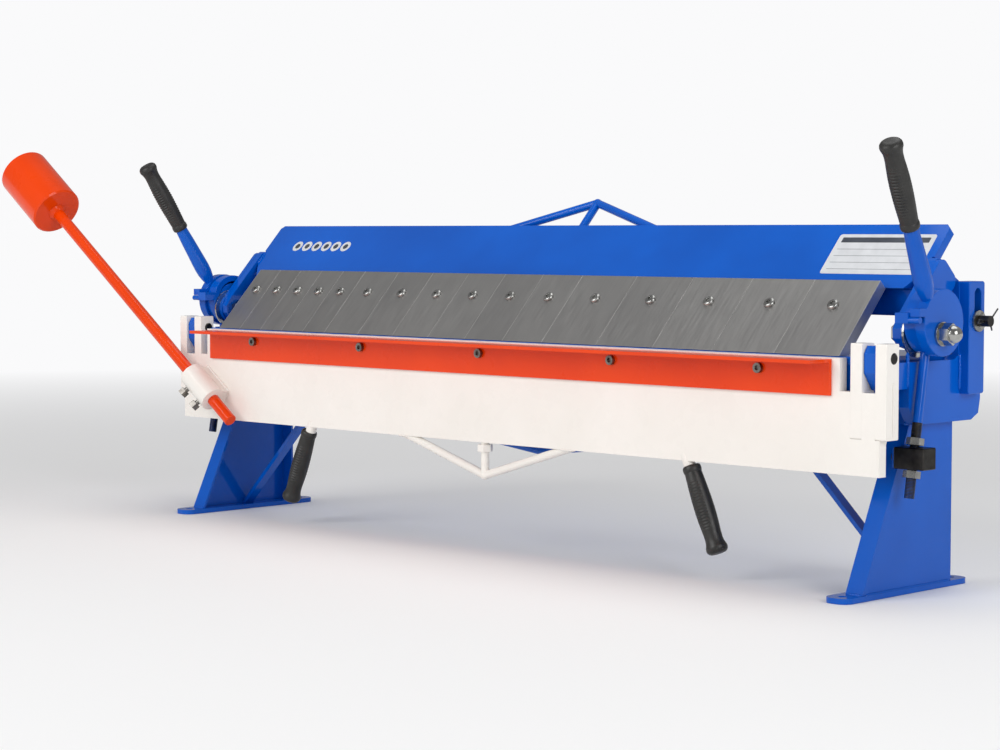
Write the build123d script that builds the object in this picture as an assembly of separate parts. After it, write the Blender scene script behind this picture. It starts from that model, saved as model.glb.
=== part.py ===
from build123d import *
import math
import os

# Sheet metal folding brake, bench model, 48 inch bend.
# Millimetres.  X runs along the bend, +Y to the back, +Z up from the bench.
# Y is measured from the bend line here.  save() moves every piece so that
# the origin lies at the centre of the four foot bolt holes.

os.makedirs("parts", exist_ok=True)

# ---- driving dimensions ------------------------------------------------
inch = 25.4
narrow_finger = 2 * inch
medium_finger = 3 * inch
wide_finger = 4 * inch
narrow_count = 5
medium_count = 6
wide_count = 5
bend_length = narrow_count * narrow_finger + medium_count * medium_finger + wide_count * wide_finger
half_bend = bend_length / 2

bend_height = 297.0          # top of the bed above the bench
stand_depth = 188.0          # front toe to back of a stand
slope = 47.0                 # lean of the fingers and the clamp beam from level
gap = 0.3                    # between faces that move past each other
running_fit = 0.06           # radial, for pins and bolts that turn
snug_fit = 0.05              # radial, for pieces that stay together
hair = 0.02                  # between pieces that touch and are fixed together

# ends, measured outward from the end of the finger row
end_plate_start = 43.4
end_plate_thick = 12.0
stand_outer = 50.4
sheet = 4.0
side_plate_thick = 16.0
bracket_thick = 14.0
boss_thick = 7.0
washer_thick = 3.0
link_thick = 19.0
lever_thick = 15.0

# feet and stands
foot_thick = 7.0
foot_width = 37.0
foot_front = 54.0
foot_back = 212.0
foot_hole_r = 5.5
foot_hole_inset = 18.0
foot_corner_r = 15.0
toe_y = -16.0
shoulder_y = 78.0
shoulder_z = bend_height - 86.0
flange_width = 26.0

# bed
table_thick = 10.0
table_back = 190.0
table_front = 1.0
table_setback = 28.0
bed_web_bottom = bend_height - 82.0
bed_web_thick = 8.0
bed_rib_y = 107.0

# hinges
hinge_pin_r = 7.0
lug_half = 9.0
lug_nose = 12.0
lug_back = 54.0
lug_bottom = bend_height - 40.0
fork_gap = 1.0
outer_cheek = 16.5
inner_cheek = 17.0
cheek_back = 10.0
cheek_rise = 18.0
cheek_drop = 99.0

# apron
apron_thick = 14.0
apron_back = -1.0
apron_bottom = bend_height - 144.0
apron_end_out = 71.9
apron_top_drop = 1.0         # lets the apron fold past square without touching the fingers
notch_width = 16.0
notch_floor = bend_height - 41.5
angle_height = 45.0
angle_reach = 45.0
angle_thick = 4.5
angle_drop = 2.5
angle_screws = 5
angle_screw_pitch = 250.0

# fingers and clamp beam
finger_length = 125.0
finger_thick = 15.0
finger_seam = 0.4
screw_at = 82.0
screw_r = 4.0
screw_head_r = 8.0
screw_head_h = 5.0
beam_thick = 12.0
beam_low = 28.0
beam_fold = 126.0
beam_top = 235.6
beam_inset = 12.0
tube_depth = 40.0
tube_height = 35.0
tube_wall = 4.0

# clamp linkage
hub_y = 78.5
hub_rise = 42.0              # above the bed
pivot_r = 8.0
eccentric = 15.0
eccentric_lean = 25.0        # degrees, back from upright when clamped
clamp_lift = 18.9
boss_r = 27.0
linkage_play = 2.75          # the most the eccentric leaves the eye's centre
eye_rest_y = 2.6            # eye centre from eccentric centre, clamped
eye_rest_z = 0.63
eye_wall = 9.4
hub_r = 41.5
rod_r = 8.0
grip_length = 120.0
grip_r = 13.5
lever_reach = 215.0
lever_lean = 30.5            # degrees forward of upright
lever_splay = 21.0           # how far the top stands out
anchor_y = 52.0
anchor_z = bend_height - 124.0
anchor_half = 13.5
anchor_pin_r = 5.0
link_rod_r = 6.0
guide_y = 182.0
guide_rise = 41.0            # above the bed
guide_r = 7.0
slot_spare = 15.1
bracket_front = 160.0
bracket_back = 197.0
bracket_bottom = bend_height - 51.0
bracket_top_spare = 9.0

# counterweight
weight_r = 43.0
weight_length = 119.0
weight_rod_r = 9.5
weight_rod_length = 570.0
weight_angle = 35.3
sleeve_r = 20.0
sleeve_length = 66.0
sleeve_start = 54.0

# truss rods
truss_r = 6.0

# ---- places worked out from them ---------------------------------------
foot_centre_y = (foot_back - foot_front) / 2
end_plate_in = half_bend + end_plate_start
end_plate_out = end_plate_in + end_plate_thick
stand_x = half_bend + stand_outer
side_plate_out = stand_x + side_plate_thick
bracket_out = side_plate_out + bracket_thick
boss_out = end_plate_out + boss_thick
link_in = boss_out + washer_thick + gap
link_out = link_in + link_thick
lever_in = link_out + gap
lever_out = lever_in + lever_thick
hub_z = bend_height + hub_rise
pivot_y = hub_y - eccentric * math.sin(math.radians(eccentric_lean))
pivot_z = hub_z - eccentric * math.cos(math.radians(eccentric_lean))
eye_y = hub_y + eye_rest_y
eye_z = hub_z + eye_rest_z
eye_bore_r = boss_r + linkage_play + gap
eye_r = eye_bore_r + eye_wall
guide_z = bend_height + guide_rise
slot_bottom = guide_z - guide_r - gap
slot_top = guide_z + guide_r + clamp_lift + slot_spare
lug_x = stand_x + 5.0
fork_in = lug_x - lug_half - fork_gap
fork_out = lug_x + lug_half + fork_gap
table_bottom = bend_height - table_thick
weight_y = apron_back - apron_thick - sleeve_r - 5.0

cos_s = math.cos(math.radians(slope))
sin_s = math.sin(math.radians(slope))
nose_lift = 0.5              # fingers over the bed when clamped


def on_slope(along, depth):
    """A place (y, z) on the sloping beam: along it from the nose, and behind the finger face."""
    return (along * cos_s + depth * sin_s,
            bend_height + nose_lift + along * sin_s - depth * cos_s)


def yz_plate(points, x0, x1):
    """A flat plate with this outline in Y and Z, from x0 to x1."""
    face = make_face(Plane.YZ.offset(x0) * Polyline(*points, close=True))
    return extrude(face, x1 - x0, dir=(1, 0, 0))


def xz_plate(points, y0, y1):
    """A flat plate with this outline in X and Z, from y0 to y1."""
    face = make_face(Polyline(*[(x, y0, z) for x, z in points], close=True))
    return extrude(face, y1 - y0, dir=(0, 1, 0))


def bar(start, end, radius):
    """A round bar between two points."""
    line = Vector(*end) - Vector(*start)
    plane = Plane(origin=start, z_dir=line)
    return extrude(plane * Circle(radius), line.length)


def x_bar(y, z, radius, x0, x1):
    """A round bar along X."""
    return bar((x0, y, z), (x1, y, z), radius)


def hex_bar(start, end, flats):
    """A hexagonal bar between two points, this wide across its flats."""
    line = Vector(*end) - Vector(*start)
    plane = Plane(origin=start, z_dir=line)
    return extrude(plane * RegularPolygon(flats / 2, 6, major_radius=False), line.length)


def block(x0, x1, y0, y1, z0, z1):
    """A plain block between these limits."""
    return Pos((x0 + x1) / 2, (y0 + y1) / 2, (z0 + z1) / 2) * Box(x1 - x0, y1 - y0, z1 - z0)


def softened(shape, radius, axis):
    """The shape with its edges along one axis rounded."""
    return fillet(shape.edges().filter_by(axis), radius)


def save(name, *shapes):
    """Write one node, moved to the foot bolt centre."""
    solids = [s for shape in shapes for s in shape.solids()]
    moved = [Pos(0, -foot_centre_y, 0) * s for s in solids]
    export_step(moved[0] if len(moved) == 1 else Compound(moved), f"parts/{name}.step")


def save_pair(name, shape):
    """Write the right-hand piece and its mirror image on the left."""
    save(f"{name}_right", shape)
    save(f"{name}_left", mirror(shape, about=Plane.YZ))


def both(shape):
    """The right-hand piece and its mirror image together."""
    return [shape, mirror(shape, about=Plane.YZ)]


# ---- feet and stands ---------------------------------------------------
foot_x = stand_x + 3.0 - foot_width / 2
foot = block(foot_x - foot_width / 2, foot_x + foot_width / 2, -foot_front, foot_back, 0, foot_thick)
foot = softened(foot, foot_corner_r, Axis.Z)
for y in (-foot_front + foot_hole_inset, foot_back - foot_hole_inset):
    foot -= bar((foot_x, y, 0), (foot_x, y, foot_thick), foot_hole_r)
save("foot_plates", *both(foot))

stand_back = toe_y + stand_depth
lean = (shoulder_y - toe_y) / (shoulder_z - foot_thick)
wall_y = sheet * math.sqrt(1 + lean ** 2)
stand_outline = [(toe_y, foot_thick), (stand_back, foot_thick), (stand_back, table_bottom),
                 (shoulder_y, table_bottom), (shoulder_y, shoulder_z)]
hollow_outline = [(toe_y + wall_y, foot_thick), (stand_back - sheet, foot_thick),
                  (stand_back - sheet, table_bottom), (shoulder_y + wall_y, table_bottom),
                  (shoulder_y + wall_y, shoulder_z)]
stand = yz_plate(stand_outline, stand_x - flange_width, stand_x)
stand -= yz_plate(hollow_outline, stand_x - flange_width, stand_x - sheet)
save_pair("stand", stand)

# a flat brace from each foot up to the front web of the bed
brace_y = 88.0
brace_half = 8.0
brace_thick = 6.0
brace_foot_x = stand_x - sheet - 1.0
brace_run = 212.0
brace_rise = bed_web_bottom - foot_thick
brace_face = brace_thick * math.hypot(brace_run, brace_rise) / brace_rise
brace = xz_plate([(brace_foot_x, foot_thick), (brace_foot_x - brace_face, foot_thick),
                  (brace_foot_x - brace_run - brace_face, bed_web_bottom),
                  (brace_foot_x - brace_run, bed_web_bottom)],
                 brace_y - brace_half, brace_y + brace_half)
save("braces", *both(brace))

# ---- bed ---------------------------------------------------------------
table_half = stand_x - sheet
table_front_half = half_bend + 22.4
table = block(-table_half, table_half, table_setback, table_back, table_bottom, bend_height)
table += block(-table_front_half, table_front_half, table_front, table_setback + 1, table_bottom, bend_height)
save("bed_table", table)

web_half = half_bend + 20.4
front_web = block(-web_half, web_half, table_front + 2, table_front + 2 + bed_web_thick,
                  bed_web_bottom, table_bottom)
save("bed_front_web", front_web)

rib_half = stand_x - flange_width - 1.0
rib = block(-rib_half, rib_half, bed_rib_y - bed_web_thick / 2, bed_rib_y + bed_web_thick / 2,
            bed_web_bottom, table_bottom)
cross_rib_x = brace_foot_x - brace_run - brace_face / 2
for x in (-cross_rib_x, 0, cross_rib_x):
    rib += block(x - 12, x + 12, table_front + 2 + bed_web_thick, bed_rib_y, bed_web_bottom,
                 bed_web_bottom + bed_web_thick)
save("bed_rib", rib)

bed_truss_end = (rib_half, bed_rib_y, bed_web_bottom - truss_r)
bed_truss_low = bend_height - 164.0
bed_truss = bar((-bed_truss_end[0], bed_rib_y, bed_truss_end[2]), (0, bed_rib_y, bed_truss_low), truss_r)
bed_truss += bar((0, bed_rib_y, bed_truss_low), bed_truss_end, truss_r)
bed_truss += Pos(0, bed_rib_y, bed_truss_low) * Sphere(truss_r + 0.6)
bed_post = bar((0, bed_rib_y, bed_truss_low), (0, bed_rib_y, bed_web_bottom), truss_r)
bed_nut = hex_bar((0, bed_rib_y, bed_web_bottom - 12), (0, bed_rib_y, bed_web_bottom - 2), 19)
save("bed_truss_rod", bed_truss + bed_post)
save("bed_truss_nut", bed_nut - bar((0, bed_rib_y, 0), (0, bed_rib_y, bend_height), truss_r + hair))

# side plates carry the hinge lug in front and the upright for the guide behind
side_bottom = shoulder_z + 1.0
side_top = bend_height - 7.0
side_outline = [(lug_back + hair, side_bottom + 22), (lug_back + 16, side_bottom),
                (foot_back - 22, side_bottom), (foot_back - 6, side_bottom + 8),
                (foot_back - 2, side_bottom + 26),
                (foot_back - 2, side_top), (bracket_back, side_top + 4),
                (bracket_back, slot_top + bracket_top_spare), (bracket_front, slot_top + bracket_top_spare),
                (bracket_front, side_top + 5), (bracket_front - 10, side_top), (lug_back + hair, side_top)]
slot = block(stand_x - 1, bracket_out + 1, guide_y - guide_r - gap, guide_y + guide_r + gap,
             slot_bottom + guide_r + gap, slot_top - guide_r - gap)
slot += x_bar(guide_y, slot_bottom + guide_r + gap, guide_r + gap, stand_x - 1, bracket_out + 1)
slot += x_bar(guide_y, slot_top - guide_r - gap, guide_r + gap, stand_x - 1, bracket_out + 1)
side_plate = yz_plate(side_outline, stand_x, side_plate_out) - slot
side_plate -= block(stand_x - 1, end_plate_out + 1.5, bracket_front - 20, bracket_back + 20, side_top + 6,
                    slot_top + 2 * bracket_top_spare)
save_pair("bed_side_plate", side_plate)

bracket = block(side_plate_out, bracket_out, bracket_front + 2, bracket_back, bracket_bottom,
                slot_top + bracket_top_spare)
bracket = softened(bracket, 4.0, Axis.X) - slot
bracket = fillet(bracket.edges().group_by(Axis.X)[-1].filter_by(Axis.Z), 1.5)
save("guide_brackets", *both(bracket))

lug_front_z = bend_height - 18.0
lug = yz_plate([(-lug_nose, bend_height + 6), (-lug_nose, lug_front_z), (4, lug_bottom),
                (lug_back, lug_bottom), (lug_back, side_top), (24, side_top), (14, bend_height + 10),
                (6, bend_height + 15),
                (-6, bend_height + 15)], lug_x - lug_half, lug_x + lug_half)
lug -= x_bar(0, bend_height, hinge_pin_r + hair, fork_in - 30, fork_out + 30)
save("hinge_lugs", *both(lug))

pin_in = fork_in - inner_cheek - 2.0
pin_out = fork_out + outer_cheek + 1.0
hinge_pin = x_bar(0, bend_height, hinge_pin_r, pin_in, pin_out)
hinge_pin = chamfer(hinge_pin.edges().filter_by(GeomType.CIRCLE), 1.2)
save("hinge_pins", *both(hinge_pin))

# link anchors on the stands
anchor_plate_out = stand_x + 4.0
anchor_plate = block(stand_x, anchor_plate_out, anchor_y - 10, anchor_y + 52, anchor_z - 14, anchor_z + 14)
anchor_plate = softened(anchor_plate, 5.0, Axis.X)
anchor_plate -= x_bar(anchor_y, anchor_z, anchor_pin_r + hair, stand_x - 1, anchor_plate_out + 1)
save("anchor_plates", *both(anchor_plate))
link_x = (link_in + link_out) / 2
anchor_pin_end = link_x - link_rod_r - 4.0
anchor_pin = x_bar(anchor_y, anchor_z, anchor_pin_r, stand_x - 4, anchor_pin_end)
anchor_pin += x_bar(anchor_y, anchor_z, anchor_pin_r + 1.5, stand_x - 4, stand_x - hair)
save("anchor_pins", *both(anchor_pin))

# ---- apron -------------------------------------------------------------
apron_front = apron_back - apron_thick
apron_end = half_bend + apron_end_out
cheek_low = bend_height - cheek_drop
cheek_high = bend_height + cheek_rise
inner_in = fork_in - inner_cheek
notch_in = inner_in - notch_width
apron_outline = [(apron_end, apron_bottom), (apron_end, cheek_low), (fork_out, cheek_low),
                 (fork_out, lug_bottom - 2),
                 (fork_in, lug_bottom - 2), (fork_in, cheek_low), (inner_in, cheek_low),
                 (inner_in, notch_floor), (notch_in, notch_floor),
                 (notch_in, bend_height - apron_top_drop)]
apron_outline += [(-x, z) for x, z in reversed(apron_outline)]
apron = xz_plate(apron_outline, apron_front, apron_back)

cheeks = []
for x0, x1 in ((inner_in, fork_in), (fork_out, fork_out + outer_cheek)):
    cheek = block(x0, x1, apron_front, cheek_back, cheek_low, cheek_high)
    cheek = softened(cheek, 2.0, Axis.X)
    cheek -= x_bar(0, bend_height, hinge_pin_r + running_fit, x0 - 1, x1 + 1)
    cheeks.append(cheek)
save("hinge_cheeks_right", *cheeks)
save("hinge_cheeks_left", *[mirror(c, about=Plane.YZ) for c in cheeks])

angle_top = bend_height - angle_drop
angle_face = apron_front - angle_thick
angle = block(-half_bend, half_bend, angle_face, apron_front, angle_top - angle_height, angle_top)
angle += block(-half_bend, half_bend, apron_front - angle_reach, angle_face, angle_top - angle_thick,
               angle_top)
inner_corner = (0, angle_face, angle_top - angle_thick)
angle = fillet(angle.edges().filter_by(Axis.X).sort_by_distance(inner_corner)[0], 3.0)
angle_screw_z = bend_height - 17.5
angle_screw_x = [(i - (angle_screws - 1) / 2) * angle_screw_pitch for i in range(angle_screws)]
screws = []
for x in angle_screw_x:
    face = (x, angle_face, angle_screw_z)
    head = bar(face, (x, angle_face - 5, angle_screw_z), 6.5)
    head -= hex_bar((x, angle_face - 5, angle_screw_z), (x, angle_face - 2, angle_screw_z), 6)
    screws.append(head + bar((x, angle_face, angle_screw_z), (x, apron_back - 2, angle_screw_z), 4.0))
    hole = bar((x, angle_face - 1, angle_screw_z), (x, apron_back - 2, angle_screw_z), 4.0 + hair)
    angle -= hole
    apron -= hole
save("apron_plate", apron)
save("apron_angle", angle)
save("angle_screws", *screws)

truss_y = (apron_front + apron_back) / 2
apron_truss_foot = 178.0
apron_truss_low = bend_height - 191.0
truss = bar((-apron_truss_foot, truss_y, apron_bottom + 6), (0, truss_y, apron_truss_low), truss_r)
truss += bar((0, truss_y, apron_truss_low), (apron_truss_foot, truss_y, apron_bottom + 6), truss_r)
truss += Pos(0, truss_y, apron_truss_low) * Sphere(truss_r + 0.6)
truss += bar((0, truss_y, apron_truss_low), (0, truss_y, apron_bottom), truss_r)
truss -= apron
truss_nut = hex_bar((0, truss_y, apron_bottom - 13), (0, truss_y, apron_bottom - 3), 19)
truss_nut -= bar((0, truss_y, apron_bottom - 40), (0, truss_y, apron_bottom), truss_r + hair)
save("apron_truss_rod", truss)
save("apron_truss_nut", truss_nut)


def grip_solid(tip, away):
    """A moulded grip whose round tip is at one point, with its bore along the rod away from the tip."""
    plane = Plane(origin=tip, z_dir=away)
    outline = Polyline((0, 0), (8.5, 0))
    outline += ThreePointArc((8.5, 0), (13.0, 2.6), (14.6, 7.5))
    outline += Spline((14.6, 7.5), (13.6, 13.0), (11.7, 20.0), (12.2, 34.0), (grip_r, grip_length * 0.5),
                      (12.6, grip_length * 0.8), (11.6, grip_length))
    outline += Polyline((11.6, grip_length), (rod_r + snug_fit, grip_length), (rod_r + snug_fit, 8),
                        (0, 8), (0, 0))
    face = make_face(Plane.XZ * outline)
    return plane * revolve(face, Axis.Z)


handle_splay = 23.6
handle_x = 375.0
handle_turn = math.radians(handle_splay)
handle_reach = 128.0
handle_y = truss_y
handle_tip = (handle_x + handle_reach * math.sin(handle_turn), handle_y,
              apron_bottom - handle_reach * math.cos(handle_turn))
handle_up = Vector(-math.sin(handle_turn), 0, math.cos(handle_turn))
handle_foot = Vector(*handle_tip)
handle_stub = bar(handle_foot + handle_up * (8 + hair), handle_foot + handle_up * (handle_reach + 10), rod_r)
handle_stub -= apron
save_pair("apron_handle", handle_stub)
save_pair("apron_grip", grip_solid(handle_tip, handle_up))

# ---- counterweight on the left of the apron -----------------------------
weight_turn = math.radians(weight_angle)
weight_dir = Vector(-math.cos(weight_turn), 0, math.sin(weight_turn))
weight_side = Vector(-math.sin(weight_turn), 0, -math.cos(weight_turn))
rod_low = Vector(-(half_bend - 77.0), weight_y, bend_height - 142.2)
rod_high = rod_low + weight_dir * weight_rod_length
weight_rod = bar(rod_low, rod_high, weight_rod_r)
weight_rod = chamfer(weight_rod.edges().filter_by(GeomType.CIRCLE), 1.0)
save("counterweight_rod", weight_rod)
weight = bar(rod_high + weight_dir * hair, rod_high + weight_dir * (weight_length + hair), weight_r)
weight = chamfer(weight.edges().filter_by(GeomType.CIRCLE), 2.5)
save("counterweight", weight)

sleeve_a = rod_low + weight_dir * sleeve_start
sleeve_b = sleeve_a + weight_dir * sleeve_length
sleeve = bar(sleeve_a, sleeve_b, sleeve_r)
pad_plane = Plane(origin=(sleeve_a + sleeve_b) * 0.5, x_dir=weight_dir, z_dir=(0, -1, 0))
pad_depth = apron_front - weight_y
sleeve += extrude(pad_plane * Rectangle(sleeve_length, 1.5 * sleeve_r), -pad_depth)
sleeve -= bar(rod_low, rod_high, weight_rod_r + snug_fit)
set_bolts = []
bolt_tilt = math.radians(35)
bolt_stand_off = 4.0
bolt_dir = weight_side * math.cos(bolt_tilt) + Vector(0, -math.sin(bolt_tilt), 0)
for share in (0.25, 0.75):
    centre = sleeve_a + weight_dir * (sleeve_length * share)
    shank = bar(centre + bolt_dir * (weight_rod_r + snug_fit), centre + bolt_dir * (sleeve_r + bolt_stand_off), 4.0)
    sleeve -= bar(centre, centre + bolt_dir * (sleeve_r + bolt_stand_off), 4.0 + hair)
    head_foot = centre + bolt_dir * (sleeve_r + bolt_stand_off)
    head = hex_bar(head_foot, head_foot + bolt_dir * 9, 15)
    set_bolts.append(shank + head)
save("counterweight_sleeve", sleeve)
save("sleeve_set_bolts", *set_bolts)

# ---- clamp beam ---------------------------------------------------------
inner_half = half_bend - beam_inset
corner_cut = 18.0
end_top_along = beam_fold + 54
front = finger_thick
back = finger_thick + beam_thick
fold_y, fold_z = on_slope(beam_fold, front)
beam_plane = Plane(origin=(0, *on_slope(0, front + hair)), x_dir=(1, 0, 0), z_dir=(0, -sin_s, cos_s))
beam_half = end_plate_in + 3.4
plate_gap = 0.1
beam_outline = [(inner_half, beam_low), (inner_half, beam_fold - beam_thick),
                (end_plate_in - plate_gap - corner_cut, beam_fold - beam_thick),
                (end_plate_in - plate_gap - corner_cut, beam_fold),
                (end_plate_in - plate_gap, beam_fold + 1.5 * corner_cut),
                (end_plate_in - plate_gap, end_top_along), (beam_half, end_top_along),
                (beam_half, beam_top - 6), (beam_half - 6, beam_top)]
beam_outline += [(-x, s) for x, s in reversed(beam_outline)]
beam = extrude(beam_plane * make_face(Polyline(*beam_outline, close=True)), -beam_thick)
for side in (-1, 1):
    outer = (inner_half + end_plate_out) / 2 * side
    beam -= Pos(outer, fold_y, fold_z - 25) * Box(end_plate_out - inner_half, 100, 50)

screw_out = Vector(0, -sin_s, cos_s)
widths = [narrow_finger] * narrow_count + [medium_finger] * medium_count + [wide_finger] * wide_count
groups = {narrow_finger: [], medium_finger: [], wide_finger: []}
finger_foot = finger_thick / sin_s
finger_outline = [on_slope(0, 0), (finger_foot, on_slope(0, 0)[1]), on_slope(finger_length, finger_thick),
                  on_slope(finger_length, 0)]
finger_screws = []
left = -half_bend
for width in widths:
    centre = left + width / 2
    finger = yz_plate(finger_outline, left + finger_seam / 2, left + width - finger_seam / 2)
    seat = Vector(centre, *on_slope(screw_at, 0))
    tip = seat - screw_out * (finger_thick + beam_thick - 2)
    finger -= bar(tip, seat + screw_out, screw_r + hair)
    beam -= bar(tip, seat + screw_out, screw_r + hair)
    head = bar(seat + screw_out * hair, seat + screw_out * screw_head_h, screw_head_r)
    head = fillet(head.edges().filter_by(GeomType.CIRCLE).sort_by_distance(seat + screw_out * 20)[0], 3.2)
    head -= hex_bar(seat + screw_out * (screw_head_h - 2.5), seat + screw_out * (screw_head_h + 1), 5)
    finger_screws.append(head + bar(tip, seat + screw_out * hair, screw_r))
    groups[width].append(finger)
    left += width
save("narrow_fingers", *groups[narrow_finger])
save("medium_fingers", *groups[medium_finger])
save("wide_fingers", *groups[wide_finger])
save("finger_screws", *finger_screws)
save("beam_plate", beam)

tube_along = (fold_z - on_slope(0, back)[1]) / sin_s
tube_front = on_slope(tube_along, back)[0] + 0.5
tube_top = fold_z
tube_end = end_plate_in - plate_gap
tube = block(-tube_end, tube_end, tube_front, tube_front + tube_depth, tube_top - tube_height, tube_top)
tube = softened(tube, 3.0, Axis.X)
tube -= block(-tube_end, tube_end, tube_front + tube_wall, tube_front + tube_depth - tube_wall,
              tube_top - tube_height + tube_wall, tube_top - tube_wall)
save("beam_tube", tube)

end_front = 11.0
end_outline = [(76, bend_height + 8), (60, bend_height + 12), (51, bend_height + 22), (50, bend_height + 34),
               on_slope(75, end_front), on_slope(end_top_along - 10, end_front),
               on_slope(end_top_along - 4, end_front + 2), on_slope(end_top_along - 0.5, end_front + 8),
               on_slope(end_top_along - 0.5, back + 14),
               (guide_y - 7, bend_height + 92), (guide_y + 9, bend_height + 63),
               (guide_y + 13, bend_height + 38), (guide_y + 8, bend_height + 16),
               (guide_y - 12, bend_height + 8)]
end_plate = yz_plate(end_outline, end_plate_in, end_plate_out)
end_plate -= x_bar(pivot_y, pivot_z, pivot_r + hair, end_plate_in - 1, end_plate_out + 1)
end_plate -= x_bar(guide_y, guide_z, guide_r + hair, end_plate_in - 1, end_plate_out + 1)
save_pair("beam_end_plate", end_plate)

# a round-ended strap stiffens each end plate from the pivot up to the fold
strap_half = 23.0
pivot_above = pivot_z - bend_height - nose_lift
pivot_along = pivot_y * cos_s + pivot_above * sin_s
pivot_depth = pivot_y * sin_s - pivot_above * cos_s
strap_front = pivot_depth - strap_half
strap_back = pivot_depth + strap_half
strap_end = end_top_along - 2
strap = yz_plate([on_slope(pivot_along, strap_front), on_slope(strap_end, strap_front),
                  on_slope(strap_end, strap_back), on_slope(pivot_along, strap_back)],
                 end_plate_out + hair, boss_out)
strap = softened(strap, strap_half / 2, Axis.X)
strap += x_bar(pivot_y, pivot_z, strap_half, end_plate_out + hair, boss_out)
strap -= x_bar(pivot_y, pivot_z, pivot_r + hair, end_plate_out - 1, boss_out + 1)
save("pivot_straps", *both(strap))

truss_depth = back + truss_r + plate_gap
truss_foot = 196.0
truss_apex = 297.0
apex = (0, *on_slope(truss_apex, truss_depth))
foot_right = (truss_foot, *on_slope(beam_top - 10, truss_depth))
foot_left = (-truss_foot, *on_slope(beam_top - 10, truss_depth))
post_foot = (0, *on_slope(beam_top - 24, truss_depth))
beam_truss = bar(foot_left, apex, truss_r) + bar(apex, foot_right, truss_r)
beam_truss += Pos(*apex) * Sphere(truss_r + 0.6) + bar(post_foot, apex, truss_r)
save("beam_truss_rod", beam_truss)

# ---- guide pins ---------------------------------------------------------
guide_end = bracket_out + 19.0
guide_pin = x_bar(guide_y, guide_z, guide_r, end_plate_in - 6, guide_end)
guide_pin += x_bar(guide_y, guide_z, guide_r + 5, end_plate_in - 6, end_plate_in - hair)
cotter_x = bracket_out + 12.0
cotter_r = 1.6
cotter = bar((cotter_x, guide_y, guide_z - 14), (cotter_x, guide_y, guide_z + 13), cotter_r)
cotter_eye = Pos(cotter_x, guide_y, guide_z + 16) * Rot(0, 90, 0) * Torus(4.0, cotter_r)
guide_pin -= bar((cotter_x, guide_y, guide_z - 14), (cotter_x, guide_y, guide_z + 13), cotter_r + hair)
save("guide_pins", *both(guide_pin))
guide_washer = x_bar(guide_y, guide_z, 13.5, bracket_out + gap, bracket_out + gap + 2.5)
guide_washer -= x_bar(guide_y, guide_z, guide_r + hair, bracket_out, bracket_out + 4)
save("guide_washers", *both(guide_washer))
save("cotter_pins", *both(cotter + cotter_eye))

# ---- pivot bolts ---------------------------------------------------------
nut_start = lever_out + gap + washer_thick
nut_length = 14.0
dome_r = 11.0
pivot_bolt = x_bar(pivot_y, pivot_z, pivot_r, end_plate_in - 8, nut_start + nut_length)
pivot_bolt += hex_bar((end_plate_in - 9, pivot_y, pivot_z), (end_plate_in - hair, pivot_y, pivot_z), 24)
save("pivot_bolts", *both(pivot_bolt))
washer_a = x_bar(pivot_y, pivot_z, 30, boss_out, boss_out + washer_thick)
washer_b = x_bar(pivot_y, pivot_z, 15, lever_out + gap, nut_start)
bolt_hole = x_bar(pivot_y, pivot_z, pivot_r + hair, boss_out - 1, nut_start + 1)
save("pivot_washers", *both(washer_a - bolt_hole), *both(washer_b - bolt_hole))
dome = hex_bar((nut_start, pivot_y, pivot_z), (nut_start + nut_length, pivot_y, pivot_z), 24)
dome += x_bar(pivot_y, pivot_z, dome_r, nut_start + nut_length, nut_start + nut_length + 2)
crown_start = nut_start + nut_length + 2
crown_height = 9.0
crown = Polyline((0, crown_height), (0, 0), (dome_r, 0))
crown += ThreePointArc((dome_r, 0), (dome_r * 0.72, crown_height * 0.7), (0, crown_height))
dome += Pos(crown_start, pivot_y, pivot_z) * Rot(0, 90, 0) * revolve(Plane.XZ * make_face(crown), Axis.Z)
dome -= x_bar(pivot_y, pivot_z, pivot_r + hair, nut_start, nut_start + nut_length + hair)
save("dome_nuts", *both(dome))

# ---- clamp levers ---------------------------------------------------------
hub = x_bar(hub_y, hub_z, hub_r, lever_in, lever_out)
hub = fillet(hub.edges().filter_by(GeomType.CIRCLE), 1.0)
hub += x_bar(hub_y, hub_z, boss_r, link_in, lever_in)
stop_r = 4.0
stop_y = hub_y - hub_r - linkage_play - eye_rest_y - gap - stop_r
stop_z = hub_z + 4.0
lug_low = stop_z + stop_r + gap
hub += block(lever_in, lever_out, stop_y - 1, hub_y - 30, lug_low, lug_low + 10)
hub -= x_bar(pivot_y, pivot_z, pivot_r + running_fit, link_in - 1, lever_out + 1)
save_pair("lever_hub", hub)

lean_turn = math.radians(lever_lean)
lever_x = (lever_in + lever_out) / 2
lever_up = Vector(lever_splay, -lever_reach * math.sin(lean_turn), lever_reach * math.cos(lean_turn))
lever_up = lever_up.normalized()
root_r = 54.0
root = Vector(lever_x, hub_y - root_r * math.sin(lean_turn), hub_z + root_r * math.cos(lean_turn) - 13)
tip = root + lever_up * lever_reach
lever_rod = bar(root - lever_up * 16, tip - lever_up * (8 + hair), rod_r)
lever_rod -= x_bar(hub_y, hub_z, hub_r + hair, lever_in - 20, lever_out + 20)
lever_rod -= block(lever_in - 20, lever_out + 20, stop_y - 1, hub_y - 30, lug_low - 10, lug_low + 10 + hair)
lever_rod = lever_rod.solids().sort_by(SortBy.VOLUME)[-1]
save_pair("lever_rod", lever_rod)
save_pair("lever_grip", grip_solid(tip, lever_up * -1))

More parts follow.
